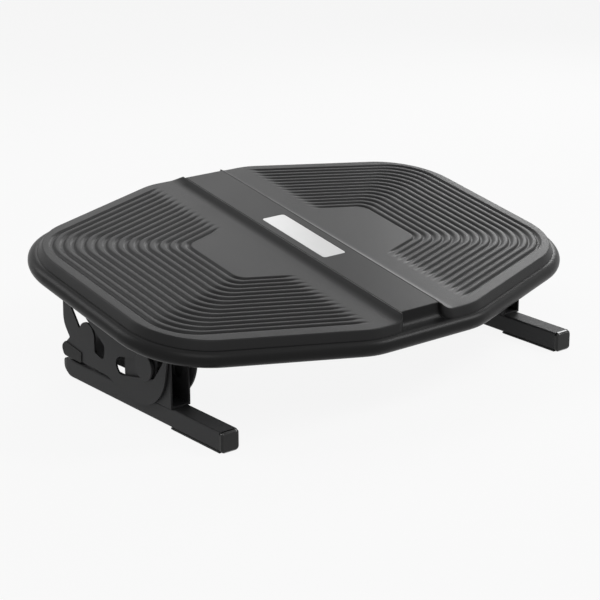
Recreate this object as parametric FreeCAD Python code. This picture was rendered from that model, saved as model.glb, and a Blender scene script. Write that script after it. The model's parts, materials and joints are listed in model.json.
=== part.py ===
import FreeCAD, Part
import math
import os

from FreeCAD import Vector

# Tilt of the platform: slope at rest, steepest slope and flattest slope, in degrees
TILT_REST = 10.0
TILT_STEEP = 20.0
TILT_FLAT = 0.0

# Small clearances
RUNNING = 0.06
EASE = 0.3
SEAM = 0.4

# Pivot, measured from the middle of the platform's rim, in the platform's own slope
PIVOT_Z = 52.0
PIVOT_AHEAD = 56.0
PIVOT_DROP = 43.0

# Platform outline: a long octagon with rounded corners, given at the top of the tread pads
PAD_HALF_W = 252.0
PAD_HALF_D = 181.0
NOSE_HALF_W = 63.0
FLANK_HALF_D = 118.0
CORNER_R = 75.0
NOSE_R = 70.0
PAD_FLARE = 4.5
RIM_LEDGE = 8.5
RIM_T = 16.0
DECK_SKIN = 3.0
DECK_WALL = 14.0

# Underside of the deck
RIB_T = 2.4
RIB_LIFT = 1.0
RIB_STEP_Y = 46.0
BOSS_R = 6.5

# Tread pads and their grooves
PAD_RISE = 8.0
PAD_SKIN = 4.0
PAD_WALL = 3.0
PAD_BEVEL = 0.9
PAD_INNER_CORNER_R = 8.0
LIP_TOP_W = 1.2
LIP_FOOT_W = 13.5
GROOVES = 14
GROOVE_BORDER = 12.4
GROOVE_PITCH = 9.58
SLANT_BORDER = 13.1
SLANT_PITCH = 7.85
GROOVE_W = 5.0
GROOVE_FLOOR_W = 2.2
GROOVE_DEPTH = 1.6
GROOVE_BACK = 1.5
GROOVE_END = 57.0
GROOVE_RUNOUT = 21.0
GROOVE_OUTER_R = 50.0
GROOVE_INNER_R = 14.0

# Centre strip and its plate
STRIP_HALF_W = 23.5
STRIP_RISE = 5.0
STRIP_TOP_HALF_D = 172.5
STRIP_FOOT = 11.5
STRIP_WALL = 3.0
BADGE_W = 28.0
BADGE_L = 100.0
BADGE_T = 1.0
BADGE_R = 3.0
BADGE_POCKET = 1.2
BADGE_BACK = 3.0

# Legs
LEG_INSET = 40.0
RAIL_W = 20.0
RAIL_H = 18.4
RAIL_WALL = 1.5
RAIL_R = 2.0
FOOT_T = 1.6
RAIL_AHEAD = 108.5
LEG_BEHIND = 145.5
FRONT_CAP_T = 4.0
REAR_CAP_T = 4.0
REAR_SWEEP_L = 17.0
FRONT_FOOT_L = 74.0
REAR_FOOT_R = 6.0
REAR_FOOT_INSET = 21.0

# Cross tube that joins the two legs
TUBE_R = 8.0
TUBE_WALL = 1.5
TUBE_BEHIND = 134.0
PLUG_T = 2.0

# Post on each rail
SHEET = 2.0
POST_W = 22.0
POST_AHEAD = 36.7
POST_BEHIND = 37.3
POST_SLOT_R = 6.8

# Saddle under the platform, drawn about the pivot in the platform's slope
SADDLE_W = 28.0
SADDLE_FRONT = 32.7
SADDLE_FRONT_R = 45.8
SADDLE_BELLY = 46.0
INNER_FRONT = 42.6
INNER_BELLY = 30.0
ARM_REAR = 145.0
TAIL_REAR = 140.0
LOBE_V = 96.0
LOBE_W = -13.0
LOBE_R = 12.8
WINDOW_R = 9.0
BUFFER_LEAF = 1.0

# Pivot hardware
BOLT_R = 5.0
BOLT_HEAD_R = 13.6
BOLT_HEAD_T = 1.8
EYE_R = 12.8
BUSH_R = 7.0
WASHER_R = 11.5
DISC_SPRING_T = 1.2
NUT_AF = 17.0
NUT_T = 6.0

# Screws
SCREW_R = 2.5
SCREW_HEAD_R = 4.6
SCREW_HEAD_T = 2.6
SCREW_BITE = 7.5
SADDLE_SCREWS_V = (0.0, 62.0, 124.0)
COVER_SCREW_R = 1.6
COVER_HEAD_R = 3.2
COVER_HEAD_T = 1.8
COVER_BOSS_R = 4.0

# Sizes that follow from the ones above
SLOPE = math.radians(TILT_REST)
PIVOT_Y = -PIVOT_AHEAD * math.cos(SLOPE) + PIVOT_DROP * math.sin(SLOPE)
DECK_Z = PIVOT_Z + PIVOT_AHEAD * math.sin(SLOPE) + PIVOT_DROP * math.cos(SLOPE)
DECK_TOP = RIM_T / 2
DECK_BOTTOM = -RIM_T / 2
POCKET_TOP = DECK_TOP - DECK_SKIN
PAD_TOP = DECK_TOP + PAD_RISE
STRIP_TOP = PAD_TOP + STRIP_RISE
LEAN = math.atan2(PAD_HALF_D - FLANK_HALF_D, PAD_HALF_W - NOSE_HALF_W)
LEG_X = PAD_HALF_W - LEG_INSET
BEARER = SADDLE_W / 2 - 2 * RIB_T
RIB_STEP_X = (LEG_X - BEARER) / 4.5
RAIL_FRONT = PIVOT_Y - RAIL_AHEAD
RAIL_REAR = PIVOT_Y + LEG_BEHIND - REAR_CAP_T
RAIL_TOP = FOOT_T + RAIL_H
WEB_TOP = PIVOT_DROP - RIM_T / 2
WEB_UNDER = WEB_TOP - SHEET
STEEP = math.radians(TILT_STEEP)
POST_TOP = PIVOT_Z + (WEB_UNDER - EASE - POST_AHEAD * math.sin(STEEP)) / math.cos(STEEP)
TUBE_Y = PIVOT_Y + TUBE_BEHIND
TUBE_Z = RAIL_TOP + TUBE_R
PLATE_IN = SADDLE_W / 2 - SHEET
WASHER_T = PLATE_IN - POST_W / 2 - 2 * 0.1


def rounded_polygon(points, radii):
    """Closed wire in the XY plane through the points, each corner rounded by its own radius."""
    count = len(points)
    corners = []
    for i in range(count):
        p = Vector(points[i][0], points[i][1], 0)
        a = Vector(points[i - 1][0], points[i - 1][1], 0).sub(p)
        b = Vector(points[(i + 1) % count][0], points[(i + 1) % count][1], 0).sub(p)
        a.normalize()
        b.normalize()
        if radii[i] <= 0:
            corners.append((p, None, p))
            continue
        half = a.getAngle(b) / 2
        reach = radii[i] / math.tan(half)
        bisector = a.add(b)
        bisector.normalize()
        centre = p + bisector * (radii[i] / math.sin(half))
        corners.append((p + a * reach, centre - bisector * radii[i], p + b * reach))
    edges = []
    for i in range(count):
        start, middle, end = corners[i]
        if middle is not None:
            edges.append(Part.Arc(start, middle, end).toShape())
        following = corners[(i + 1) % count][0]
        if end.distanceToPoint(following) > 1e-6:
            edges.append(Part.LineSegment(end, following).toShape())
    return Part.Wire(edges)


def prism(wire, z_low, z_high):
    """Solid standing on the XY plane, from a flat wire."""
    face = Part.Face(wire)
    face.translate(Vector(0, 0, z_low))
    return face.extrude(Vector(0, 0, z_high - z_low))


def side_plate(wire, x_low, x_high):
    """Solid from a wire drawn as (back, up), lying across X."""
    solid = prism(wire, x_low, x_high)
    solid.Placement = FreeCAD.Placement(Vector(), FreeCAD.Rotation(Vector(1, 1, 1), 120))
    return solid


def capsule(start, end, radius):
    """Long hole outline between two centres."""
    a = Vector(start[0], start[1], 0)
    b = Vector(end[0], end[1], 0)
    along = b.sub(a)
    along.normalize()
    across = Vector(-along.y, along.x, 0) * radius
    return Part.Wire([
        Part.LineSegment(a + across, b + across).toShape(),
        Part.Arc(b + across, b + along * radius, b - across).toShape(),
        Part.LineSegment(b - across, a - across).toShape(),
        Part.Arc(a - across, a - along * radius, a + across).toShape(),
    ])


def box(x, y, z):
    """Box from three (low, high) pairs."""
    return Part.makeBox(x[1] - x[0], y[1] - y[0], z[1] - z[0], Vector(x[0], y[0], z[0]))


def rod_x(radius, x_low, x_high, y, z):
    """Round bar along X."""
    return Part.makeCylinder(radius, x_high - x_low, Vector(x_low, y, z), Vector(1, 0, 0))


def rod_z(radius, x, y, z_low, z_high):
    """Round bar along Z."""
    return Part.makeCylinder(radius, z_high - z_low, Vector(x, y, z_low), Vector(0, 0, 1))


def mirrored(shape):
    """The same piece on the other side of the footrest."""
    return shape.mirror(Vector(0, 0, 0), Vector(1, 0, 0))


def both_sides(shape):
    return Part.makeCompound([shape, mirrored(shape)])


def on_platform(shape):
    """Place a shape drawn about the middle of the rim, level, into its resting slope."""
    slope = FreeCAD.Placement(Vector(0, 0, DECK_Z), FreeCAD.Rotation(Vector(1, 0, 0), TILT_REST))
    placed = shape.copy()
    placed.Placement = slope.multiply(placed.Placement)
    return placed


def about_pivot(shape):
    """Place a shape drawn about the pivot, level and on the centre plane, over the right leg."""
    shape = shape.copy()
    shape.translate(Vector(LEG_X, -PIVOT_AHEAD, -PIVOT_DROP))
    return on_platform(shape)


def grown(grow):
    """Half width, half depth, flank and nose of the platform's outline, offset outwards."""
    side = grow * math.tan((math.pi / 2 - LEAN) / 2)
    nose = grow * math.tan(LEAN / 2)
    return PAD_HALF_W + grow, PAD_HALF_D + grow, FLANK_HALF_D + side, NOSE_HALF_W + nose


def octagon(grow):
    """Outline of the platform, offset outwards from the top of the tread pads."""
    w, d, flank, front = grown(grow)
    points = [(front, -d), (w, -flank), (w, flank), (front, d),
              (-front, d), (-w, flank), (-w, -flank), (-front, -d)]
    nose = NOSE_R + grow
    bend = CORNER_R + grow
    return rounded_polygon(points, [nose, bend, bend, nose, nose, bend, bend, nose])


def pad_outline(grow, level, set_back=True):
    """Outline of the right-hand tread pad at one level, with its straight inner side by the strip."""
    w, d, flank, front = grown(grow)
    inner = STRIP_HALF_W + EASE
    if set_back:
        inner -= min(grow, 0)
    points = [(inner, -d), (front, -d), (w, -flank), (w, flank), (front, d), (inner, d)]
    nose = NOSE_R + grow
    bend = CORNER_R + grow
    tip = max(PAD_INNER_CORNER_R + grow, 1.0)
    wire = rounded_polygon(points, [tip, nose, bend, bend, nose, tip])
    wire.translate(Vector(0, 0, level))
    return wire


def groove_region(number, widen, bend, level):
    """Outline inside one groove edge: parallel to the flank and to both slanted edges."""
    offset = GROOVE_BORDER + GROOVE_PITCH * number - widen
    slant = SLANT_BORDER + SLANT_PITCH * number - widen
    side = PAD_HALF_W - offset
    reach = FLANK_HALF_D + offset * math.tan(LEAN) - slant / math.cos(LEAN)
    near = GROOVE_END - 1
    start = reach + (side - near) * math.tan(LEAN)
    points = [(near, -start), (side, -reach), (side, reach), (near, start)]
    wire = rounded_polygon(points, [0, bend + widen, bend + widen, 0])
    wire.translate(Vector(0, GROOVE_BACK, level))
    return wire


def groove_cutters():
    """Concentric grooves with sloping walls, running out towards the strip."""
    spread = (GROOVE_W - GROOVE_FLOOR_W) / 2 / GROOVE_DEPTH
    top = GROOVE_W / 2 + spread
    low = GROOVE_FLOOR_W / 2
    cutters = []
    for i in range(GROOVES):
        bend = GROOVE_OUTER_R + (GROOVE_INNER_R - GROOVE_OUTER_R) * i / (GROOVES - 1)
        sides = []
        for sign in (1, -1):
            floor = groove_region(i, sign * low, bend, PAD_TOP - GROOVE_DEPTH)
            mouth = groove_region(i, sign * top, bend, PAD_TOP + 1)
            sides.append(Part.makeLoft([floor, mouth], True, True))
        cutters.append(sides[0].cut(sides[1]))
    far = PAD_HALF_D + 10
    runout = Part.makePolygon([Vector(GROOVE_END, -far, PAD_TOP + 2), Vector(GROOVE_END, -far, PAD_TOP),
                               Vector(GROOVE_END + GROOVE_RUNOUT, -far, PAD_TOP - GROOVE_DEPTH - 0.2),
                               Vector(PAD_HALF_W, -far, PAD_TOP - GROOVE_DEPTH - 0.2),
                               Vector(PAD_HALF_W, -far, PAD_TOP + 2), Vector(GROOVE_END, -far, PAD_TOP + 2)])
    runout = Part.Face(runout).extrude(Vector(0, 2 * far, 0))
    return Part.makeCompound(cutters).common(runout)


def pad_screw_spots():
    """Middles of four cells of the underside ribs, under the right-hand pad."""
    spots = []
    for column in (1.5, 3.5):
        for row in (-1.5, 1.5):
            spots.append((RIB_STEP_X * (column + 0.5), RIB_STEP_Y * row))
    return spots


def strip_screw_spots():
    return [(0.0, RIB_STEP_Y * row) for row in (-2.5, -0.5, 1.5, 2.5)]


def lip():
    """Inner edge of the pad, swept up to the height of the strip in a hollow curve."""
    near = STRIP_HALF_W + EASE
    far = PAD_HALF_D + 10
    start = Vector(near + LIP_TOP_W, -far, STRIP_TOP)
    end = Vector(near + LIP_FOOT_W, -far, PAD_TOP - 0.05)
    middle = Vector(near + LIP_TOP_W + (LIP_FOOT_W - LIP_TOP_W) * 0.4, -far, PAD_TOP + STRIP_RISE * 0.3)
    base = Vector(near + LIP_FOOT_W, -far, PAD_TOP - 2)
    root = Vector(near, -far, PAD_TOP - 2)
    crest = Vector(near, -far, STRIP_TOP)
    edges = [Part.Arc(start, middle, end).toShape(), Part.LineSegment(end, base).toShape(),
             Part.LineSegment(base, root).toShape(), Part.LineSegment(root, crest).toShape(),
             Part.LineSegment(crest, start).toShape()]
    bar = Part.Face(Part.Wire(edges)).extrude(Vector(0, 2 * far, 0))
    slope = PAD_FLARE / PAD_RISE
    foot = pad_outline(PAD_FLARE, DECK_TOP)
    head = pad_outline(-slope * STRIP_RISE, STRIP_TOP, False)
    block = Part.makeLoft([foot, head], True, True)
    return bar.common(block)


def tread_pad():
    """Raised pad with concentric grooves and a lip by the strip, hollow underneath."""
    shoulder = PAD_TOP - PAD_BEVEL
    foot = pad_outline(PAD_FLARE, DECK_TOP)
    edge = pad_outline(PAD_BEVEL * 0.8, shoulder)
    wall = Part.makeLoft([foot, edge], True, True)
    bevel = Part.makeLoft([edge, pad_outline(0, PAD_TOP)], True, True)
    pad = wall.fuse([bevel, lip()]).removeSplitter()
    pocket = prism(pad_outline(-PAD_WALL, 0), DECK_TOP, PAD_TOP - PAD_SKIN)
    pad = pad.cut(pocket)
    for x, y in pad_screw_spots():
        pad = pad.fuse(rod_z(COVER_BOSS_R, x, y, DECK_TOP, PAD_TOP - PAD_SKIN))
    for x, y in pad_screw_spots():
        pad = pad.cut(rod_z(COVER_SCREW_R + 0.1, x, y, DECK_TOP, PAD_TOP - PAD_SKIN))
    return pad.cut(groove_cutters())


def strip_profile():
    """Side view of the strip: a small roll, a steep drop and a hollow sweep down to the rim at each end."""
    edges = []
    ends = []
    for sign in (-1, 1):
        top = Vector(sign * (STRIP_TOP_HALF_D - 1.2), STRIP_TOP, 0)
        roll = Vector(sign * (STRIP_TOP_HALF_D - 0.3), STRIP_TOP - 0.35, 0)
        brow = Vector(sign * STRIP_TOP_HALF_D, STRIP_TOP - 1.2, 0)
        drop = Vector(sign * (STRIP_TOP_HALF_D + 0.8), STRIP_TOP - STRIP_RISE * 0.75, 0)
        fall = drop.y - DECK_TOP
        sweep = Vector(drop.x + sign * (STRIP_FOOT - 0.8) * 0.3, DECK_TOP + fall * 0.3, 0)
        foot = Vector(sign * (STRIP_TOP_HALF_D + STRIP_FOOT), DECK_TOP, 0)
        edges += [Part.Arc(top, roll, brow).toShape(), Part.LineSegment(brow, drop).toShape(),
                  Part.Arc(drop, sweep, foot).toShape()]
        ends.append((top, foot))
    edges.append(Part.LineSegment(ends[0][0], ends[1][0]).toShape())
    edges.append(Part.LineSegment(ends[0][1], ends[1][1]).toShape())
    return Part.Wire(Part.__sortEdges__(edges))


def centre_strip():
    """Raised strip between the pads, with a pocket for the plate."""
    strip = side_plate(strip_profile(), -STRIP_HALF_W, STRIP_HALF_W)
    hollow = box((-STRIP_HALF_W + STRIP_WALL, STRIP_HALF_W - STRIP_WALL),
                 (-STRIP_TOP_HALF_D + STRIP_WALL, STRIP_TOP_HALF_D - STRIP_WALL),
                 (DECK_TOP, STRIP_TOP - STRIP_WALL - BADGE_POCKET))
    strip = strip.cut(hollow)
    for x, y in strip_screw_spots():
        strip = strip.fuse(rod_z(COVER_BOSS_R, x, y, DECK_TOP, STRIP_TOP - STRIP_WALL))
    for x, y in strip_screw_spots():
        strip = strip.cut(rod_z(COVER_SCREW_R + 0.1, x, y, DECK_TOP, DECK_TOP + 6))
    return strip.cut(badge_shape(EASE, STRIP_TOP - BADGE_POCKET, STRIP_TOP + 1))


def badge_shape(grow, z_low, z_high):
    w = BADGE_W / 2 + grow
    low = BADGE_BACK - BADGE_L / 2 - grow
    high = BADGE_BACK + BADGE_L / 2 + grow
    wire = rounded_polygon([(-w, low), (w, low), (w, high), (-w, high)], [BADGE_R + grow] * 4)
    return prism(wire, z_low, z_high)


def badge_plate():
    """Bare plate lying in the pocket of the strip."""
    floor = STRIP_TOP - BADGE_POCKET
    return badge_shape(0, floor, floor + BADGE_T)


def deck_ribs():
    """Crossing ribs under the deck, two deeper bearers over each leg, and the screw bosses."""
    ribs = []
    width = PAD_HALF_W + RIM_LEDGE
    depth = PAD_HALF_D + RIM_LEDGE
    rib_low = DECK_BOTTOM + RIB_LIFT
    for column in (0.5, 1.5, 2.5, 3.5):
        for side in (-1, 1):
            x = side * RIB_STEP_X * column
            ribs.append(box((x - RIB_T / 2, x + RIB_T / 2), (-depth, depth), (rib_low, POCKET_TOP)))
    for row in (-3, -2, -1, 0, 1, 2, 3):
        y = RIB_STEP_Y * row
        ribs.append(box((-width, width), (y - RIB_T / 2, y + RIB_T / 2), (rib_low, POCKET_TOP)))
    for side in (-1, 1):
        for shift in (-BEARER, BEARER):
            x = side * (LEG_X + shift)
            ribs.append(box((x - RIB_T / 2, x + RIB_T / 2),
                            (-PIVOT_AHEAD - SADDLE_FRONT, ARM_REAR - PIVOT_AHEAD),
                            (DECK_BOTTOM, POCKET_TOP)))
        for v in SADDLE_SCREWS_V:
            ribs.append(rod_z(BOSS_R, side * LEG_X, v - PIVOT_AHEAD, DECK_BOTTOM, POCKET_TOP))
    return ribs


def deck():
    """Platform moulding: bullnose rim, thin skin and ribbed underside."""
    grow = PAD_FLARE + RIM_LEDGE
    body = prism(octagon(grow), DECK_BOTTOM, DECK_TOP)
    rim = [e for e in body.Edges if e.BoundBox.ZLength < 0.01]
    body = body.makeFillet(RIM_T / 2 - 0.2, rim)
    pocket = prism(octagon(grow - DECK_WALL), DECK_BOTTOM, POCKET_TOP)
    body = body.cut(pocket)
    inside = prism(octagon(grow - DECK_WALL + 1), DECK_BOTTOM, DECK_TOP - 1)
    ribs = Part.makeCompound(deck_ribs()).common(inside)
    body = body.fuse(ribs.Solids).removeSplitter()
    holes = []
    bite = DECK_BOTTOM + SCREW_BITE + 1
    for side in (-1, 1):
        for v in SADDLE_SCREWS_V:
            holes.append(rod_z(SCREW_R + 0.1, side * LEG_X, v - PIVOT_AHEAD, DECK_BOTTOM, bite))
        for x, y in pad_screw_spots():
            holes.append(rod_z(COVER_SCREW_R + 0.2, side * x, y, POCKET_TOP, DECK_TOP))
    for x, y in strip_screw_spots():
        holes.append(rod_z(COVER_SCREW_R + 0.2, x, y, POCKET_TOP, DECK_TOP))
    return body.cut(Part.makeCompound(holes))


def cover_screw(x, y):
    head = rod_z(COVER_HEAD_R, x, y, POCKET_TOP - COVER_HEAD_T, POCKET_TOP)
    return head.fuse(rod_z(COVER_SCREW_R, x, y, POCKET_TOP, DECK_TOP + 3.5))


def saddle_screw(v):
    """Screw up through the web of the saddle, drawn about the pivot."""
    head = rod_z(SCREW_HEAD_R, 0, v, WEB_UNDER - SCREW_HEAD_T, WEB_UNDER)
    return head.fuse(rod_z(SCREW_R, 0, v, WEB_UNDER, WEB_TOP + SCREW_BITE))


def pivot_window():
    """Bent window that passes under the pivot eye and climbs in front of it."""
    knee = (-9.0, 0.8)
    lower = Part.Face(capsule((36.3, -17.1), knee, WINDOW_R))
    upper = Part.Face(capsule(knee, (-18.5, 19.5), WINDOW_R))
    eye = Part.Face(Part.Wire(Part.makeCircle(EYE_R)))
    return lower.fuse(upper).removeSplitter().cut(eye)


def hook_opening():
    """Opening between the rear arm and the body of the plate, hooked round the lobe."""
    lobe_edge = LOBE_V - LOBE_R
    points = [(110.6, -10.6), (127.0, 4.5), (129.0, WEB_UNDER - 8), (117.0, WEB_UNDER - 8),
              (99.5, 3.6), (90.0, 0.1), (76.5, -5.2), (65.2, -10.5), (65.2, -25.6), (lobe_edge - 2.2, -24.2),
              (lobe_edge, LOBE_W), (LOBE_V, LOBE_W)]
    radii = [1.2, 8.0, 4.0, 4.0, 12.0, 9.0, 9.0, 4.0, 4.5, 2.0, 0, 0]
    opening = Part.Face(rounded_polygon(points, radii))
    lobe = Part.Face(Part.Wire(Part.makeCircle(LOBE_R, Vector(LOBE_V, LOBE_W, 0))))
    return opening.cut(lobe)


def saddle_cuts(x_low, x_high, faces):
    cuts = []
    across = FreeCAD.Placement(Vector(), FreeCAD.Rotation(Vector(1, 1, 1), 120))
    for face in faces:
        solid = face.extrude(Vector(0, 0, x_high - x_low + 2))
        solid.translate(Vector(0, 0, x_low - 1))
        solid.Placement = across.multiply(solid.Placement)
        cuts.append(solid)
    return Part.makeCompound(cuts)


def heel_outline(grow):
    """Rounded heel at the rear foot of the outer cheek, drawn from its front upper corner."""
    return [(102.0, -34.4), (101.0, -44.0 - grow), (130.6, -49.0 - grow),
            (135.4 + grow, -42.0), (129.8 + grow * 0.8, -35.0)]


def outer_cheek():
    """Outer side of the saddle, with the rear arm, the lobe, the heel and both windows."""
    heel = heel_outline(0)
    points = [(-SADDLE_FRONT, WEB_TOP), (-SADDLE_FRONT, -SADDLE_BELLY), (58.0, -38.0),
              heel[1], heel[2], heel[3], (124.3, -28.0), (137.0, -17.0), (ARM_REAR, WEB_TOP)]
    radii = [0, SADDLE_FRONT_R, 5.0, 20.0, 4.5, 6.0, 1.5, 22.0, 0]
    x_low = SADDLE_W / 2 - SHEET
    x_high = SADDLE_W / 2
    plate = side_plate(rounded_polygon(points, radii), x_low, x_high)
    return plate.cut(saddle_cuts(x_low, x_high, [pivot_window(), hook_opening()]))


def heel_buffer():
    """Rubber shoe pressed over the heel of the outer cheek."""
    x_low = SADDLE_W / 2 - SHEET - BUFFER_LEAF
    x_high = SADDLE_W / 2 + BUFFER_LEAF
    shoe = side_plate(rounded_polygon(heel_outline(BUFFER_LEAF), [1.5, 1.5, 5.0, 6.0, 1.5]), x_low, x_high)
    return shoe.cut(outer_cheek())


def inner_cheek():
    """Inner side of the saddle, with the tail that lands on the cross tube when the platform is level."""
    seat_v = TUBE_Y - PIVOT_Y
    seat_w = TUBE_Z - PIVOT_Z
    lip_v = seat_v - TUBE_R - EASE
    points = [(-INNER_FRONT, WEB_TOP), (-INNER_FRONT, -INNER_BELLY), (40.0, -35.0),
              (lip_v - 15, seat_w - 25), (lip_v - 8, seat_w - 23), (lip_v - 1.5, seat_w - 2),
              (lip_v + 0.2, seat_w + 3), (seat_v, seat_w + TUBE_R - 3),
              (TAIL_REAR, seat_w + TUBE_R + 0.5), (TAIL_REAR, WEB_TOP)]
    radii = [0, SADDLE_FRONT_R, 30.0, 4.0, 4.0, 3.0, 0, 0, 0, 0]
    x_low = -SADDLE_W / 2
    x_high = x_low + SHEET
    plate = side_plate(rounded_polygon(points, radii), x_low, x_high)
    seat = Part.Face(Part.Wire(Part.makeCircle(TUBE_R + EASE, Vector(seat_v, seat_w, 0))))
    return plate.cut(saddle_cuts(x_low, x_high, [seat]))


def saddle():
    """Folded steel saddle: two cheeks and the web that is screwed up under the deck."""
    web = box((-SADDLE_W / 2, SADDLE_W / 2), (-SADDLE_FRONT, TAIL_REAR), (WEB_UNDER, WEB_TOP))
    body = web.fuse([outer_cheek(), inner_cheek()]).removeSplitter()
    body = body.cut(rod_x(BOLT_R + RUNNING, -SADDLE_W, SADDLE_W, 0, 0))
    for v in SADDLE_SCREWS_V:
        body = body.cut(rod_z(SCREW_R + 0.25, 0, v, WEB_UNDER, WEB_TOP))
    return body


def pivot_bolt():
    """Bolt with a flat round head outside and a plain shank through both cheeks."""
    edge = SADDLE_W / 2
    head = rod_x(BOLT_HEAD_R, edge, edge + BOLT_HEAD_T, 0, 0)
    rim = [e for e in head.Edges if e.BoundBox.XMin > edge + BOLT_HEAD_T - 0.01]
    head = head.makeChamfer(BOLT_HEAD_T / 3, rim)
    tip = -edge - 2 * DISC_SPRING_T - NUT_T - 1.5
    return head.fuse(rod_x(BOLT_R, tip, edge, 0, 0))


def disc_springs():
    """Pair of spring washers between the inner cheek and the nut."""
    rings = []
    for i in range(2):
        high = -SADDLE_W / 2 - DISC_SPRING_T * i
        ring = rod_x(BOLT_R * 1.9, high - DISC_SPRING_T, high, 0, 0)
        rings.append(ring.cut(rod_x(BOLT_R + 0.15, high - DISC_SPRING_T, high, 0, 0)))
    return Part.makeCompound(rings)


def pivot_nut():
    high = -SADDLE_W / 2 - 2 * DISC_SPRING_T
    corner = NUT_AF / 2 / math.cos(math.pi / 6)
    points = [(corner * math.cos(math.pi / 3 * i), corner * math.sin(math.pi / 3 * i)) for i in range(6)]
    nut = side_plate(rounded_polygon(points, [0] * 6), high - NUT_T, high)
    return nut.cut(rod_x(BOLT_R + 0.02, high - NUT_T, high, 0, 0))


def bushing():
    """Nylon sleeve pressed through both walls of the post."""
    half = POST_W / 2 + WASHER_T
    sleeve = rod_x(BUSH_R, LEG_X - half, LEG_X + half, PIVOT_Y, PIVOT_Z)
    return sleeve.cut(rod_x(BOLT_R + RUNNING, LEG_X - half, LEG_X + half, PIVOT_Y, PIVOT_Z))


def friction_washer(side):
    """Washer on the bushing, between a wall of the post and a cheek of the saddle."""
    near = POST_W / 2
    far = near + WASHER_T
    x_low, x_high = sorted((LEG_X + side * near, LEG_X + side * far))
    ring = rod_x(WASHER_R, x_low, x_high, PIVOT_Y, PIVOT_Z)
    return ring.cut(rod_x(BUSH_R + 0.05, x_low, x_high, PIVOT_Y, PIVOT_Z))


def post():
    """Folded steel post standing on the rail: floor, two slotted walls and a back, open to the front."""
    low = PIVOT_Y - POST_AHEAD
    high = PIVOT_Y + POST_BEHIND
    half = POST_W / 2
    block = box((LEG_X - half, LEG_X + half), (low, high), (RAIL_TOP, POST_TOP))
    inside = half - SHEET
    room = box((LEG_X - inside, LEG_X + inside), (low, high - SHEET), (RAIL_TOP + SHEET, POST_TOP))
    body = block.cut(room)
    hole = rod_x(BUSH_R + 0.05, LEG_X - half, LEG_X + half, PIVOT_Y, PIVOT_Z)
    lower = (PIVOT_Y - WASHER_R - POST_SLOT_R - 1.5, PIVOT_Z - 3.0)
    upper = (lower[0] - 3.0, PIVOT_Z + 10.5)
    slot = side_plate(capsule(lower, upper, POST_SLOT_R), LEG_X - half, LEG_X + half)
    return body.cut(hole).cut(slot)


def rail_section(shrink):
    w = RAIL_W / 2 - shrink
    low = FOOT_T + shrink
    high = RAIL_TOP - shrink
    bend = max(RAIL_R - shrink, 0.5)
    return rounded_polygon([(-w, low), (w, low), (w, high), (-w, high)], [bend] * 4)


def along_y(wire, y_low, y_high):
    """Solid from a wire drawn as (across, up), running front to back over the right leg."""
    solid = prism(wire, 0, y_high - y_low)
    solid.Placement = FreeCAD.Placement(Vector(LEG_X, y_high, 0), FreeCAD.Rotation(Vector(1, 0, 0), 90))
    return solid


def rear_sweep(y_low):
    """Side view of the rail's rear end, its underside sweeping up towards the end."""
    end = RAIL_REAR + REAR_CAP_T
    points = [(y_low, FOOT_T), (end - REAR_SWEEP_L * 0.53, FOOT_T), (end, FOOT_T + RAIL_H * 0.43),
              (end, RAIL_TOP), (y_low, RAIL_TOP)]
    profile = rounded_polygon(points, [0, REAR_SWEEP_L * 1.1, 7.5, REAR_CAP_T * 0.95, 0])
    return side_plate(profile, LEG_X - RAIL_W, LEG_X + RAIL_W)


def rail():
    """Square steel tube lying front to back, its rear end cut to the sweep."""
    tube = along_y(rail_section(0), RAIL_FRONT, RAIL_REAR)
    tube = tube.cut(along_y(rail_section(RAIL_WALL), RAIL_FRONT, RAIL_REAR))
    return tube.common(rear_sweep(RAIL_FRONT))


def front_cap():
    """Glossy plug over the front end of the rail and of its foot pad."""
    w = RAIL_W / 2
    face = rounded_polygon([(-w, 0), (w, 0), (w, RAIL_TOP), (-w, RAIL_TOP)], [4.0] * 4)
    cap = along_y(face, RAIL_FRONT - FRONT_CAP_T, RAIL_FRONT)
    rim = [e for e in cap.Edges if e.BoundBox.YMax < RAIL_FRONT - FRONT_CAP_T + 0.01]
    cap = cap.makeChamfer(FRONT_CAP_T * 0.4, rim)
    stub = along_y(rail_section(RAIL_WALL + 0.2), RAIL_FRONT, RAIL_FRONT + 12)
    return cap.fuse(stub)


def rear_cap():
    """Plug in the rear end of the rail, cut to the same sweep."""
    cap = along_y(rail_section(0), RAIL_REAR, RAIL_REAR + REAR_CAP_T)
    stub = along_y(rail_section(RAIL_WALL + 0.2), RAIL_REAR - REAR_SWEEP_L, RAIL_REAR)
    return cap.fuse(stub).common(rear_sweep(RAIL_REAR - REAR_SWEEP_L))


def front_foot():
    """Rubber pad under the front of the rail, as wide as the rail."""
    w = RAIL_W / 2
    profile = rounded_polygon([(RAIL_FRONT, 0), (RAIL_FRONT + FRONT_FOOT_L, 0),
                               (RAIL_FRONT + FRONT_FOOT_L, FOOT_T), (RAIL_FRONT, FOOT_T)],
                              [0, FOOT_T * 0.6, 0, 0])
    return side_plate(profile, LEG_X - w, LEG_X + w)


def rear_foot():
    """Round rubber foot under the rear of the rail."""
    foot = rod_z(REAR_FOOT_R, LEG_X, RAIL_REAR - REAR_FOOT_INSET, 0, FOOT_T)
    rim = [e for e in foot.Edges if e.BoundBox.ZMax < 0.01]
    return foot.makeChamfer(0.5, rim)


def cross_tube():
    """Round tube lying across both rails at the rear."""
    half = LEG_X + RAIL_W / 2 - PLUG_T
    tube = rod_x(TUBE_R, -half, half, TUBE_Y, TUBE_Z)
    return tube.cut(rod_x(TUBE_R - TUBE_WALL, -half, half, TUBE_Y, TUBE_Z))


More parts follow.
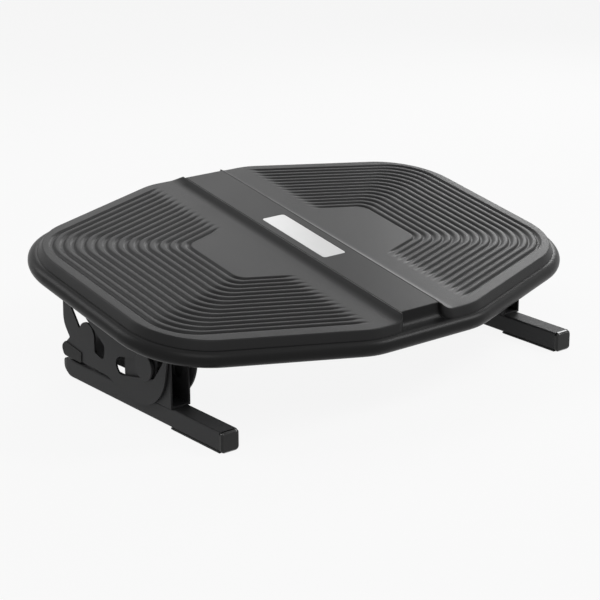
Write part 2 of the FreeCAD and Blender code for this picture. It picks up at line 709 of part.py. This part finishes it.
def tube_plug():
    end = LEG_X + RAIL_W / 2
    disc = rod_x(TUBE_R, end - PLUG_T, end, TUBE_Y, TUBE_Z)
    rim = [e for e in disc.Edges if e.BoundBox.XMin > end - 0.01]
    disc = disc.makeChamfer(PLUG_T * 0.5, rim)
    return disc.fuse(rod_x(TUBE_R - TUBE_WALL - 0.2, end - PLUG_T - 8, end - PLUG_T, TUBE_Y, TUBE_Z))


def pair(name, shape, pieces):
    """The right-hand piece and its mirror image on the left."""
    pieces["right_" + name] = shape
    pieces["left_" + name] = mirrored(shape)


def build():
    pieces = {}
    pieces["deck"] = on_platform(deck())
    pad = on_platform(tread_pad())
    pair("tread_pad", pad, pieces)
    pieces["centre_strip"] = on_platform(centre_strip())
    pieces["badge_plate"] = on_platform(badge_plate())
    cover_screws = [cover_screw(side * x, y) for side in (-1, 1) for x, y in pad_screw_spots()]
    cover_screws += [cover_screw(x, y) for x, y in strip_screw_spots()]
    pieces["cover_screws"] = on_platform(Part.makeCompound(cover_screws))
    pair("saddle", about_pivot(saddle()), pieces)
    pair("heel_buffer", about_pivot(heel_buffer()), pieces)
    screws = about_pivot(Part.makeCompound([saddle_screw(v) for v in SADDLE_SCREWS_V]))
    pieces["saddle_screws"] = both_sides(screws)
    pair("pivot_bolt", about_pivot(pivot_bolt()), pieces)
    pair("pivot_nut", about_pivot(pivot_nut()), pieces)
    pair("disc_springs", about_pivot(disc_springs()), pieces)
    pair("pivot_bushing", bushing(), pieces)
    pair("outer_friction_washer", friction_washer(1), pieces)
    pair("inner_friction_washer", friction_washer(-1), pieces)
    pair("post", post(), pieces)
    pair("rail", rail(), pieces)
    pair("front_cap", front_cap(), pieces)
    pair("rear_cap", rear_cap(), pieces)
    pair("front_foot", front_foot(), pieces)
    pair("rear_foot", rear_foot(), pieces)
    pieces["cross_tube"] = cross_tube()
    pair("tube_plug", tube_plug(), pieces)
    return pieces


os.makedirs("parts", exist_ok=True)
for name, shape in build().items():
    shape.exportStep("parts/" + name + ".step")
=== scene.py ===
import json
import math

import bmesh
import bpy
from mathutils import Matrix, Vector
from mathutils.geometry import delaunay_2d_cdt


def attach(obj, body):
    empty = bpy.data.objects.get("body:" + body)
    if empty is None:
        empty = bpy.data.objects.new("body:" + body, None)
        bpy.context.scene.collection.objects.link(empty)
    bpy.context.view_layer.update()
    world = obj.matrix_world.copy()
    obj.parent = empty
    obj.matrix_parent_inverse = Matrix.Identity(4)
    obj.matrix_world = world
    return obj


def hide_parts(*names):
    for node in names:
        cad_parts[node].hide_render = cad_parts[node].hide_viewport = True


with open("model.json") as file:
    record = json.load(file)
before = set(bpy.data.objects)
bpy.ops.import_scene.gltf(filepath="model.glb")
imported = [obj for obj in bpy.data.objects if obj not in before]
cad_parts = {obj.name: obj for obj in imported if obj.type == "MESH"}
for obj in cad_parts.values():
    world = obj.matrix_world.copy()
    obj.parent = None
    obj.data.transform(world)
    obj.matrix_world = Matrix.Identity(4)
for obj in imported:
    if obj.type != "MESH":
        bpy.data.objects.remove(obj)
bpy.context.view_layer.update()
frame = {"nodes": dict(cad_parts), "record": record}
MM = 0.001

# Camera and studio
CAMERA_AT = (-1.1557, -1.4240, 0.6620)
CAMERA_TURN = 38.97
CAMERA_DOWN = 18.25
CAMERA_LENS = 115.2
CAMERA_FILM = 36.0
FLOOR_SIZE = 12.0
FLOOR_GREY = 0.80
FLOOR_GLOW = 0.9
SKY_LIGHT = 0.10

# Lamps: name, place, the point each looks at, width and height, watts
LAMPS = (
    ("back_light", (0.55, 0.95, 0.85), (0.0, 0.1, 0.1), (0.6, 0.5), 1.6),
    ("right_light", (1.35, 0.75, 0.75), (0.15, 0.0, 0.1), (0.5, 0.5), 4.5),
    ("left_light", (-0.9, 1.0, 1.1), (-0.2, 0.0, 0.1), (0.6, 0.9), 6.0),
    ("front_light", (0.75, -0.55, 0.85), (0.05, -0.1, 0.1), (0.35, 0.35), 4.0),
    ("top_light", (-0.5, -0.9, 1.2), (0.0, 0.0, 0.1), (0.8, 0.8), 4.0),
)

# The platform, in millimetres: slope, pivot and outline at the top of the tread pads
SLOPE = math.radians(10.0)
PIVOT_Z = 52.0
PIVOT_AHEAD = 56.0
PIVOT_DROP = 43.0
DECK_Z = PIVOT_Z + PIVOT_AHEAD * math.sin(SLOPE) + PIVOT_DROP * math.cos(SLOPE)
DECK_TOP = 8.0
PAD_TOP = 16.0
PAD_HALF_W = 252.0
PAD_HALF_D = 181.0
NOSE_HALF_W = 63.0
FLANK_HALF_D = 118.0
CORNER_R = 75.0
NOSE_R = 70.0
PAD_FLARE = 4.5
PAD_TIP_R = 8.0
PAD_INNER = 23.8
LEG_X = 212.0
LEAN = math.atan2(PAD_HALF_D - FLANK_HALF_D, PAD_HALF_W - NOSE_HALF_W)
WALL_LEAN = PAD_FLARE / (PAD_TOP - DECK_TOP)
SMOOTH_ANGLE = 32.0

# Rounded edge of a pad: how far out and how far down each row lies
PAD_EDGE = ((-1.3, 0.0), (-0.75, -0.02), (-0.3, -0.14), (0.1, -0.38), (0.4, -0.75), (0.7, -1.2))

# Lip along the strip
LIP_RISE = 5.0
LIP_TOP_END = 25.0
LIP_FOOT = 37.3
LIP_CURVE = 2.36
LIP_COLUMNS = (26.2, 27.4, 28.8, 30.4, 32.2, 34.2, 36.0, LIP_FOOT, 40.0)
LIP_PARTS = 24
LIP_INSET = 1.9
LIP_TIP_R = 5.9

# Grooves
GROOVES = 14
GROOVE_BORDER = 12.4
GROOVE_PITCH = 9.58
SLANT_BORDER = 13.1
SLANT_PITCH = 7.85
GROOVE_DEPTH = 1.75
CREST_DROP = 0.25
GROOVE_BACK = 1.5
GROOVE_END = 57.0
GROOVE_RUNOUT = 21.0
GROOVE_OUTER_R = 50.0
GROOVE_INNER_R = 14.0
GROOVE_FLOOR_HALF = 0.6
GROOVE_WALL_W = 2.3
CREST_HALF = 1.9
GROOVE_STEPS = (-3.7, -3.0, -2.4, -1.8, -1.2, -0.6, 0.0, 0.6, 1.2, 1.8, 2.4, 3.0, 3.7)

# Feet at the strip's ends: side view as (out from the middle, up), and how they sit
FOOT_PROFILE = ((174.2, 14.2), (175.0, 12.9), (176.0, 11.6), (177.2, 10.5),
                (178.6, 9.6), (180.2, 8.9), (182.2, 8.3), (184.0, 8.05))
FOOT_INNER = 23.3
FOOT_GAP = 0.12
FOOT_BASE = DECK_TOP - 0.05

# Screws under the deck
RIB_STEP_X = (LEG_X - 9.2) / 4.5
RIB_STEP_Y = 46.0
SADDLE_SCREWS_V = (0.0, 62.0, 124.0)
SADDLE_HEAD_W = -11.3
COVER_HEAD_W = 4.1
SADDLE_SCREW = {"Head radius": 4.6, "Head height": 2.6, "Shank radius": 2.5, "Shank length": 10.6, "Socket width": 4.0}
COVER_SCREW = {"Head radius": 3.2, "Head height": 1.8, "Shank radius": 1.6, "Shank length": 7.2, "Socket width": 2.5}
HEAD_TAPER = 0.72
HEX_RADIUS = 0.577
SOCKET_DEPTH = 0.6


class Value:
    """A shader value that sums and products can be written with."""

    def __init__(self, shader, socket):
        self.shader = shader
        self.socket = socket

    def math(self, operation, *others, clamp=False):
        node = self.shader.tree.nodes.new("ShaderNodeMath")
        node.operation = operation
        node.use_clamp = clamp
        for slot, value in zip(node.inputs, (self,) + others):
            self.shader.feed(slot, value)
        return Value(self.shader, node.outputs[0])

    def __add__(self, other):
        return self.math("ADD", other)

    __radd__ = __add__

    def __mul__(self, other):
        return self.math("MULTIPLY", other)

    def clamped(self):
        return self.math("ADD", 0.0, clamp=True)


class Shader:
    """One material, with a principled surface."""

    def __init__(self, name, **constants):
        self.material = bpy.data.materials.new(name)
        self.material.use_nodes = True
        self.tree = self.material.node_tree
        self.surface = self.tree.nodes["Principled BSDF"]
        self.at = Value(self, self.node("ShaderNodeTexCoord").outputs["Object"])
        for key, value in constants.items():
            self.surface.inputs[key.replace("_", " ")].default_value = value

    def feed(self, slot, value):
        if isinstance(value, Value):
            self.tree.links.new(value.socket, slot)
        else:
            slot.default_value = value

    def node(self, kind, settings=(), **sockets):
        node = self.tree.nodes.new(kind)
        for key, value in dict(settings).items():
            setattr(node, key, value)
        for key, value in sockets.items():
            self.feed(node.inputs[key.replace("_", " ")], value)
        return node

    def noise(self, scale, detail=2.0, roughness=0.5, at=None):
        """Noise between about 0 and 1; scale is the number of features in a metre."""
        node = self.node("ShaderNodeTexNoise", Vector=at or self.at, Scale=scale, Detail=detail, Roughness=roughness)
        return Value(self, node.outputs["Fac"])

    def stretched(self, x, y, z):
        node = self.node("ShaderNodeMapping", Vector=self.at, Scale=(x, y, z))
        return Value(self, node.outputs["Vector"])

    def colour(self, low, high, amount):
        node = self.node("ShaderNodeMix", {"data_type": "RGBA"})
        self.feed(node.inputs[0], amount)
        self.feed(node.inputs[6], low)
        self.feed(node.inputs[7], high)
        return Value(self, node.outputs[2])

    def bump(self, height, distance, strength=1.0):
        node = self.node("ShaderNodeBump", Strength=strength, Distance=distance, Height=height)
        self.feed(self.surface.inputs["Normal"], Value(self, node.outputs["Normal"]))


def grey(level, tint=(1.0, 1.0, 1.0)):
    return (level * tint[0], level * tint[1], level * tint[2], 1.0)


def moulded_plastic(name, level, shine, grain, specular):
    """Charcoal plastic with the fine even grain of an etched mould."""
    shader = Shader(name, IOR=1.5, Specular_IOR_Level=specular)
    cloud = shader.noise(14.0, 3.0)
    fine = shader.noise(2600.0, 2.0, 0.6)
    low = grey(level * 0.88, (1.0, 1.0, 1.03))
    high = grey(level * 1.12, (1.0, 1.0, 1.03))
    shader.feed(shader.surface.inputs["Base Color"], shader.colour(low, high, cloud))
    shader.feed(shader.surface.inputs["Roughness"], shine + cloud * 0.06 + fine * 0.05)
    shader.bump(fine, grain, 1.0)
    return shader.material


def powder_coat(name, level, shine):
    """Matt stoved paint on steel, with its faint orange peel."""
    shader = Shader(name, IOR=1.5, Specular_IOR_Level=0.20)
    peel = shader.noise(900.0, 2.0, 0.5)
    cloud = shader.noise(20.0, 2.0)
    low = grey(level * 0.92, (1.0, 1.01, 1.04))
    high = grey(level * 1.08, (1.0, 1.01, 1.04))
    shader.feed(shader.surface.inputs["Base Color"], shader.colour(low, high, cloud))
    shader.feed(shader.surface.inputs["Roughness"], shine + peel * 0.08)
    shader.bump(peel, 0.00012, 0.6)
    return shader.material


def brushed_metal(name, level, shine, x, y, z):
    """Metal with long fine scratches along one direction."""
    shader = Shader(name, Metallic=1.0)
    streak = shader.noise(1.0, 3.0, 0.6, shader.stretched(x, y, z))
    cloud = shader.noise(25.0, 2.0)
    tone = streak * 0.6 + cloud * 0.4
    shader.feed(shader.surface.inputs["Base Color"], shader.colour(grey(level * 0.85), grey(level * 1.1), tone))
    shader.feed(shader.surface.inputs["Roughness"], shine + streak * 0.12)
    shader.bump(streak, 0.00004, 0.6)
    return shader.material


def gloss_plastic(name, level, shine):
    shader = Shader(name, IOR=1.5, Specular_IOR_Level=0.30)
    cloud = shader.noise(120.0, 2.0)
    shader.feed(shader.surface.inputs["Base Color"], shader.colour(grey(level * 0.8), grey(level * 1.2), cloud))
    shader.feed(shader.surface.inputs["Roughness"], shine + cloud * 0.06)
    shader.bump(cloud, 0.0001, 0.3)
    return shader.material


def rubber(name, level):
    shader = Shader(name, IOR=1.45)
    grain = shader.noise(1500.0, 3.0, 0.6)
    shader.feed(shader.surface.inputs["Base Color"], shader.colour(grey(level * 0.8), grey(level * 1.3), grain))
    shader.feed(shader.surface.inputs["Roughness"], 0.7 + grain * 0.15)
    shader.bump(grain, 0.0001, 0.7)
    return shader.material


TREAD = moulded_plastic("tread_plastic", 0.010, 0.36, 0.00005, 0.20)
STRIP = moulded_plastic("strip_plastic", 0.007, 0.30, 0.00003, 0.12)
RIM = moulded_plastic("rim_plastic", 0.006, 0.30, 0.00004, 0.16)
STEEL = powder_coat("frame_steel", 0.038, 0.50)
COVER = powder_coat("pivot_cover", 0.040, 0.48)
BADGE = brushed_metal("badge_metal", 0.40, 0.26, 3000.0, 40.0, 40.0)
ZINC = brushed_metal("zinc_steel", 0.55, 0.30, 400.0, 400.0, 400.0)
CAP = gloss_plastic("cap_plastic", 0.012, 0.10)
NYLON = gloss_plastic("nylon", 0.012, 0.40)
RUBBER = rubber("foot_rubber", 0.018)

BY_SLOT = {"tread_plastic": TREAD, "rim_plastic": RIM, "frame_steel": STEEL, "pivot_cover": COVER,
           "badge_metal": BADGE, "zinc_steel": ZINC, "cap_plastic": CAP, "nylon": NYLON, "foot_rubber": RUBBER}


def finish_frame():
    """Gives every carried-over piece the finish of its slot."""
    slots = {part["node"]: part["material_slot"] for part in frame["record"]["subparts"]}
    for name, piece in frame["nodes"].items():
        for slot in piece.material_slots:
            slot.material = BY_SLOT[slots[name]]
    for slot in frame["nodes"]["centre_strip"].material_slots:
        slot.material = STRIP


def on_platform(u, v, w):
    """A point of the platform's own slope, in millimetres, as a place in the frame."""
    y = v * math.cos(SLOPE) - w * math.sin(SLOPE)
    z = DECK_Z + v * math.sin(SLOPE) + w * math.cos(SLOPE)
    return Vector((u * MM, y * MM, z * MM))


def smooth_step(x):
    x = min(max(x, 0.0), 1.0)
    return x * x * (3.0 - 2.0 * x)


def rounded_outline(points, radii, steps, splits):
    """Closed outline with rounded corners; each side between two corners is split into equal lengths."""
    count = len(points)
    corners = []
    for i in range(count):
        p = Vector(points[i])
        a = (Vector(points[i - 1]) - p).normalized()
        b = (Vector(points[(i + 1) % count]) - p).normalized()
        half = a.angle(b) / 2
        centre = p + (a + b).normalized() * (radii[i] / math.sin(half))
        start = p + a * (radii[i] / math.tan(half)) - centre
        end = p + b * (radii[i] / math.tan(half)) - centre
        turn = start.angle_signed(end)
        arc = []
        for k in range(steps[i] + 1):
            angle = -turn * k / steps[i]
            arc.append(centre + Vector((start.x * math.cos(angle) - start.y * math.sin(angle),
                                        start.x * math.sin(angle) + start.y * math.cos(angle))))
        corners.append(arc)
    outline = []
    for i in range(count):
        outline += corners[i]
        following = corners[(i + 1) % count][0]
        for k in range(1, splits[i]):
            outline.append(corners[i][-1].lerp(following, k / splits[i]))
    return outline


def pad_outline(grow, set_back=True):
    """Outline of the right-hand pad, offset outwards from the edge of its top."""
    side = grow * math.tan((math.pi / 2 - LEAN) / 2)
    nose = grow * math.tan(LEAN / 2)
    inner = PAD_INNER
    if set_back:
        inner -= min(grow, 0.0)
    w = PAD_HALF_W + grow
    d = PAD_HALF_D + grow
    flank = FLANK_HALF_D + side
    front = NOSE_HALF_W + nose
    points = [(inner, -d), (front, -d), (w, -flank), (w, flank), (front, d), (inner, d)]
    bend = CORNER_R + grow
    tip = PAD_TIP_R + grow
    radii = [tip, NOSE_R + grow, bend, bend, NOSE_R + grow, tip]
    return rounded_outline(points, radii, [10, 8, 20, 20, 8, 10], [10, 12, 16, 12, 10, 30])


def lip_height(u):
    """How far the pad is swept up at this distance from the middle."""
    if u <= LIP_TOP_END:
        return LIP_RISE
    share = max(LIP_FOOT - u, 0.0) / (LIP_FOOT - LIP_TOP_END)
    return LIP_RISE * share ** LIP_CURVE


def groove_line(number):
    """One line that follows the grooves; whole numbers are the groove bottoms."""
    offset = GROOVE_BORDER + GROOVE_PITCH * number
    slant = SLANT_BORDER + SLANT_PITCH * number
    side = PAD_HALF_W - offset
    reach = FLANK_HALF_D + offset * math.tan(LEAN) - slant / math.cos(LEAN)
    start = reach + (side - GROOVE_END) * math.tan(LEAN)
    share = min(max(number, 0.0), GROOVES - 1.0) / (GROOVES - 1.0)
    bend = GROOVE_OUTER_R + (GROOVE_INNER_R - GROOVE_OUTER_R) * share
    points = [(GROOVE_END, -start), (side, -reach), (side, reach), (GROOVE_END, start)]
    outline = rounded_outline(points, [0.01, bend, bend, 0.01], [1, 14, 14, 1], [26, 10, 26, 1])
    return [Vector((p.x, p.y + GROOVE_BACK)) for p in outline]


def groove_depth(number, u):
    """How deep the tread lies below its plain level on a line of that number."""
    away = abs(number - round(min(max(number, 0.0), GROOVES - 1.0))) * GROOVE_PITCH
    half = GROOVE_PITCH / 2
    cut = GROOVE_DEPTH * smooth_step(1.0 - (away - GROOVE_FLOOR_HALF) / GROOVE_WALL_W)
    inside = smooth_step((number + 0.15) / 0.3) * smooth_step((GROOVES - 0.85 - number) / 0.3)
    crest = CREST_DROP * min((half - min(away, half)) / CREST_HALF, 1.0) ** 2
    return (cut + crest * inside) * smooth_step((u - GROOVE_END) / GROOVE_RUNOUT)


def mesh_piece(name, points, faces, material, body, smooth_angle=SMOOTH_ANGLE, mirror=False):
    """Closed mesh made an object of its own, with its finish and body."""
    made = bmesh.new()
    corners = []
    for x, y, z in points:
        corners.append(made.verts.new((-x if mirror else x, y, z)))
    for face in faces:
        made.faces.new([corners[i] for i in face])
    bmesh.ops.remove_doubles(made, verts=made.verts, dist=1e-7)
    bmesh.ops.recalc_face_normals(made, faces=made.faces)
    mesh = bpy.data.meshes.new(name)
    made.to_mesh(mesh)
    made.free()
    mesh.polygons.foreach_set("use_smooth", [True] * len(mesh.polygons))
    mesh.set_sharp_from_angle(angle=math.radians(smooth_angle))
    mesh.materials.append(material)
    piece = bpy.data.objects.new(name, mesh)
    bpy.context.collection.objects.link(piece)
    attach(piece, body)
    return piece


def tread_surface():
    """Points and faces of the right-hand pad: grooved top, swept lip, bevelled edge and sloping wall."""
    lean = [a - b for a, b in zip(pad_outline(0.0, False), pad_outline(-1.0, False))]
    rows = []
    for grow, drop in PAD_EDGE:
        row = []
        for at, out in zip(pad_outline(grow), lean):
            rise = lip_height(at.x)
            at = at - out * (WALL_LEAN * rise)
            row.append((at.x, at.y, PAD_TOP + rise + drop))
        rows.append(row)
    rows.append([(at.x, at.y, DECK_TOP) for at in pad_outline(PAD_FLARE)])

    flat = []
    level = []
    edges = []

    def add_line(line, heights):
        first = len(flat)
        flat.extend(line)
        level.extend(heights)
        edges.extend((first + k, first + k + 1) for k in range(len(line) - 1))

    rim = rows[0]
    around = len(rim)
    flat.extend(Vector((x, y)) for x, y, _ in rim)
    level.extend(z for _, _, z in rim)
    half = GROOVE_PITCH / 2
    for i in range(GROOVES):
        for step in ((-half,) if i == 0 else ()) + GROOVE_STEPS + (half,):
            number = i + step / GROOVE_PITCH
            line = groove_line(number)
            add_line(line, [PAD_TOP - groove_depth(number, p.x) for p in line])
    for u in LIP_COLUMNS:
        reach = PAD_HALF_D - LIP_INSET
        if u < PAD_INNER + PAD_TIP_R:
            short = PAD_INNER + PAD_TIP_R - u
            reach = PAD_HALF_D - PAD_TIP_R + math.sqrt(max(LIP_TIP_R ** 2 - short ** 2, 0.0))
        reach -= WALL_LEAN * lip_height(u)
        line = [Vector((u, -reach + 2.0 * reach * k / LIP_PARTS)) for k in range(LIP_PARTS + 1)]
        add_line(line, [PAD_TOP + lip_height(u)] * len(line))
    verts, _, faces, origin = delaunay_2d_cdt(flat, edges, [list(range(around))], 1, 1e-5)[:4]
    points = []
    at_rim = {}
    for i, p in enumerate(verts):
        source = origin[i]
        z = level[source[0]] if source else PAD_TOP + lip_height(p.x)
        points.append((p.x, p.y, z))
        for k in source:
            if k < around:
                at_rim[k] = i
    faces = [tuple(face) for face in faces]
    above = [at_rim[k] for k in range(around)]
    for row in rows[1:]:
        first = len(points)
        points.extend(row)
        below = list(range(first, first + around))
        for k in range(around):
            m = (k + 1) % around
            faces.append((above[k], below[k], below[m], above[m]))
        above = below
    faces.append(tuple(above))
    return points, faces


def tread_pads():
    """The two grooved pads, in place of the plainer ones of the frame."""
    points, faces = tread_surface()
    placed = [on_platform(*p) for p in points]
    for side, mirror in (("right", False), ("left", True)):
        piece = mesh_piece(side + "_tread", placed, faces, TREAD, "platform", SMOOTH_ANGLE, mirror)
        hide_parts(side + "_tread_pad")


def soften(name, width, segments, angle=35.0):
    """Merges a carried-over piece's triangles and rounds its edges."""
    piece = frame["nodes"][name]
    weld = piece.modifiers.new("weld", "WELD")
    weld.merge_threshold = 1e-6
    bevel = piece.modifiers.new("rounded_edges", "BEVEL")
    bevel.width = width * MM
    bevel.segments = segments
    bevel.limit_method = "ANGLE"
    bevel.angle_limit = math.radians(angle)
    even = piece.modifiers.new("even_shading", "WEIGHTED_NORMAL")
    even.mode = "FACE_AREA"
    even.weight = 100


def strip_flares():
    """Small feet that carry the sweep of the strip round the corners of the pads."""
    points = []
    faces = []
    for side in (-1, 1):
        for end in (-1, 1):
            first = len(points)
            for v, w in FOOT_PROFILE:
                tip = PAD_TIP_R + PAD_FLARE * (PAD_TOP - w) / (PAD_TOP - DECK_TOP)
                past = v - PAD_HALF_D + PAD_TIP_R
                out = PAD_INNER + tip - math.sqrt(max(tip ** 2 - past ** 2, 0.0)) - FOOT_GAP
                for u, z in ((FOOT_INNER, w), (out, w), (out, FOOT_BASE), (FOOT_INNER, FOOT_BASE)):
                    points.append(on_platform(side * u, end * v, z))
            rows = (len(points) - first) // 4
            for i in range(rows - 1):
                for k in range(4):
                    m = (k + 1) % 4
                    a = first + 4 * i
                    faces.append((a + k, a + m, a + 4 + m, a + 4 + k))
            last = first + 4 * (rows - 1)
            faces.append((first, first + 1, first + 2, first + 3))
            faces.append((last, last + 1, last + 2, last + 3))
    mesh_piece("strip_feet", points, faces, STRIP, "platform", 30.0)


def screw_tree():
    """Socket screws set on points: a domed head with a six-sided socket, on a plain shank."""
    tree = bpy.data.node_groups.new("socket_screws", "GeometryNodeTree")
    face = tree.interface
    face.new_socket("Geometry", in_out="INPUT", socket_type="NodeSocketGeometry")
    for name in ("Head radius", "Head height", "Shank radius", "Shank length", "Socket width", "Slope"):
        face.new_socket(name, in_out="INPUT", socket_type="NodeSocketFloat")
    face.new_socket("Finish", in_out="INPUT", socket_type="NodeSocketMaterial")
    face.new_socket("Geometry", in_out="OUTPUT", socket_type="NodeSocketGeometry")
    given = tree.nodes.new("NodeGroupInput")
    result = tree.nodes.new("NodeGroupOutput")

    def node(kind, settings=(), **links):
        made = tree.nodes.new(kind)
        for key, value in dict(settings).items():
            setattr(made, key, value)
        for key, value in links.items():
            socket = made.inputs[key.replace("_", " ")]
            if hasattr(value, "is_output"):
                tree.links.new(value, socket)
            else:
                socket.default_value = value
        return made

    def moved(shape, height):
        at = node("ShaderNodeCombineXYZ", Z=height)
        return node("GeometryNodeTransform", Geometry=shape, Translation=at.outputs[0]).outputs[0]

    def times(value, factor):
        made = node("ShaderNodeMath", {"operation": "MULTIPLY"})
        tree.links.new(value, made.inputs[0])
        made.inputs[1].default_value = factor
        return made.outputs[0]

    tall = given.outputs["Head height"]
    wide = given.outputs["Head radius"]
    dome = node("GeometryNodeMeshCone", Vertices=28, Side_Segments=2, Radius_Top=wide,
                Radius_Bottom=times(wide, HEAD_TAPER), Depth=tall)
    socket = node("GeometryNodeMeshCylinder", Vertices=6, Radius=times(given.outputs["Socket width"], HEX_RADIUS),
                  Depth=times(tall, 2.0 * SOCKET_DEPTH))
    cut = node("GeometryNodeMeshBoolean", {"operation": "DIFFERENCE"})
    tree.links.new(dome.outputs[0], cut.inputs[0])
    tree.links.new(moved(socket.outputs[0], times(tall, -SOCKET_DEPTH)), cut.inputs[1])
    shank = node("GeometryNodeMeshCylinder", Vertices=20, Radius=given.outputs["Shank radius"],
                 Depth=given.outputs["Shank length"])
    whole = tree.nodes.new("GeometryNodeJoinGeometry")
    tree.links.new(moved(cut.outputs[0], 0.0), whole.inputs[0])
    lift = times(given.outputs["Shank length"], 0.5)
    tree.links.new(moved(shank.outputs[0], lift), whole.inputs[0])
    turn = node("ShaderNodeCombineXYZ", X=given.outputs["Slope"])
    placed = node("GeometryNodeInstanceOnPoints", Points=given.outputs["Geometry"], Instance=whole.outputs[0],
                  Rotation=turn.outputs[0])
    real = node("GeometryNodeRealizeInstances", Geometry=placed.outputs[0])
    done = node("GeometryNodeSetMaterial", Geometry=real.outputs[0], Material=given.outputs["Finish"])
    tree.links.new(done.outputs[0], result.inputs[0])
    return tree


def screws(tree, name, node_name, spots, sizes):
    """Sets one kind of screw on its spots; a spot is the middle of a head."""
    seed = bpy.data.meshes.new(name + "_spots")
    seed.from_pydata([on_platform(*spot) for spot in spots], [], [])
    holder = bpy.data.objects.new(name + "_spots", seed)
    bpy.context.collection.objects.link(holder)
    modifier = holder.modifiers.new("screws", "NODES")
    modifier.node_group = tree
    keys = {item.name: item.identifier for item in tree.interface.items_tree if item.in_out == "INPUT"}
    for key, value in sizes.items():
        modifier[keys[key]] = value * MM
    modifier[keys["Slope"]] = SLOPE
    modifier[keys["Finish"]] = ZINC
    depsgraph = bpy.context.evaluated_depsgraph_get()
    mesh = bpy.data.meshes.new_from_object(holder.evaluated_get(depsgraph))
    bpy.data.objects.remove(holder)
    mesh.polygons.foreach_set("use_smooth", [True] * len(mesh.polygons))
    mesh.set_sharp_from_angle(angle=math.radians(SMOOTH_ANGLE))
    piece = bpy.data.objects.new(name, mesh)
    bpy.context.collection.objects.link(piece)
    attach(piece, "platform")
    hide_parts(node_name)


def all_screws():
    """The screws under the legs, and those that hold the pads and the strip from below."""
    tree = screw_tree()
    spots = [(side * LEG_X, v - PIVOT_AHEAD, SADDLE_HEAD_W) for side in (-1, 1) for v in SADDLE_SCREWS_V]
    screws(tree, "saddle_screw_set", "saddle_screws", spots, SADDLE_SCREW)
    cells = [(side * k, row) for side in (-1, 1) for k in (2.0, 4.0) for row in (-1.5, 1.5)]
    cells += [(0.0, row) for row in (-2.5, -0.5, 1.5, 2.5)]
    spots = [(RIB_STEP_X * k, RIB_STEP_Y * row, COVER_HEAD_W) for k, row in cells]
    screws(tree, "cover_screw_set", "cover_screws", spots, COVER_SCREW)


def soften_edges():
    """Rounds the edges of the pieces that stay as the frame gives them."""
    soften("centre_strip", 0.5, 2)
    soften("badge_plate", 0.25, 2)
    for side in ("left_", "right_"):
        soften(side + "saddle", 0.35, 2)
        soften(side + "post", 0.4, 2)
        soften(side + "rail", 0.3, 2)
        soften(side + "front_cap", 1.2, 4)
        soften(side + "rear_cap", 0.5, 2)
        soften(side + "heel_buffer", 0.4, 2)
        soften(side + "pivot_bolt", 0.3, 2)


def studio():
    """Pale floor and a white surrounding that lights the object only a little."""
    bpy.ops.mesh.primitive_plane_add(size=FLOOR_SIZE)
    floor = bpy.context.object
    floor.name = "studio_floor"
    shader = Shader("studio_floor", Roughness=0.9)
    shader.feed(shader.surface.inputs["Base Color"], grey(FLOOR_GREY))
    glow = shader.node("ShaderNodeEmission", Color=grey(1.0), Strength=1.0)
    path = shader.node("ShaderNodeLightPath")
    seen = Value(shader, path.outputs["Is Camera Ray"])
    for ray in ("Is Glossy Ray", "Is Transmission Ray"):
        seen = seen + Value(shader, path.outputs[ray])
    seen = seen.clamped() * FLOOR_GLOW
    mix = shader.node("ShaderNodeMixShader")
    shader.feed(mix.inputs[0], seen)
    shader.tree.links.new(shader.surface.outputs[0], mix.inputs[1])
    shader.tree.links.new(glow.outputs[0], mix.inputs[2])
    shader.tree.links.new(mix.outputs[0], shader.tree.nodes["Material Output"].inputs[0])
    floor.data.materials.append(shader.material)

    world = bpy.data.worlds.new("studio")
    bpy.context.scene.world = world
    world.use_nodes = True
    nodes = world.node_tree.nodes
    links = world.node_tree.links
    path = nodes.new("ShaderNodeLightPath")
    strength = nodes.new("ShaderNodeMix")
    strength.inputs[2].default_value = SKY_LIGHT
    strength.inputs[3].default_value = 1.0
    seen = path.outputs["Is Camera Ray"]
    for ray in ("Is Glossy Ray", "Is Transmission Ray"):
        both = nodes.new("ShaderNodeMath")
        both.operation = "ADD"
        both.use_clamp = True
        links.new(seen, both.inputs[0])
        links.new(path.outputs[ray], both.inputs[1])
        seen = both.outputs[0]
    links.new(seen, strength.inputs[0])
    links.new(strength.outputs[0], nodes["Background"].inputs["Strength"])
    nodes["Background"].inputs["Color"].default_value = grey(1.0)


def lamp(name, at, towards, size, power):
    light = bpy.data.lights.new(name, "AREA")
    light.shape = "RECTANGLE"
    light.size = size[0]
    light.size_y = size[1]
    light.energy = power
    piece = bpy.data.objects.new(name, light)
    bpy.context.collection.objects.link(piece)
    piece.location = at
    piece.rotation_euler = (Vector(towards) - Vector(at)).to_track_quat("-Z", "Y").to_euler()


def camera():
    data = bpy.data.cameras.new("camera")
    data.lens = CAMERA_LENS
    data.sensor_width = CAMERA_FILM
    piece = bpy.data.objects.new("camera", data)
    bpy.context.collection.objects.link(piece)
    piece.location = CAMERA_AT
    piece.rotation_euler = (math.radians(90.0 - CAMERA_DOWN), 0.0, math.radians(-CAMERA_TURN))
    bpy.context.scene.camera = piece


bpy.context.scene.view_settings.view_transform = "Standard"
finish_frame()
tread_pads()
strip_flares()
all_screws()
soften_edges()
studio()
for setting in LAMPS:
    lamp(*setting)
camera()
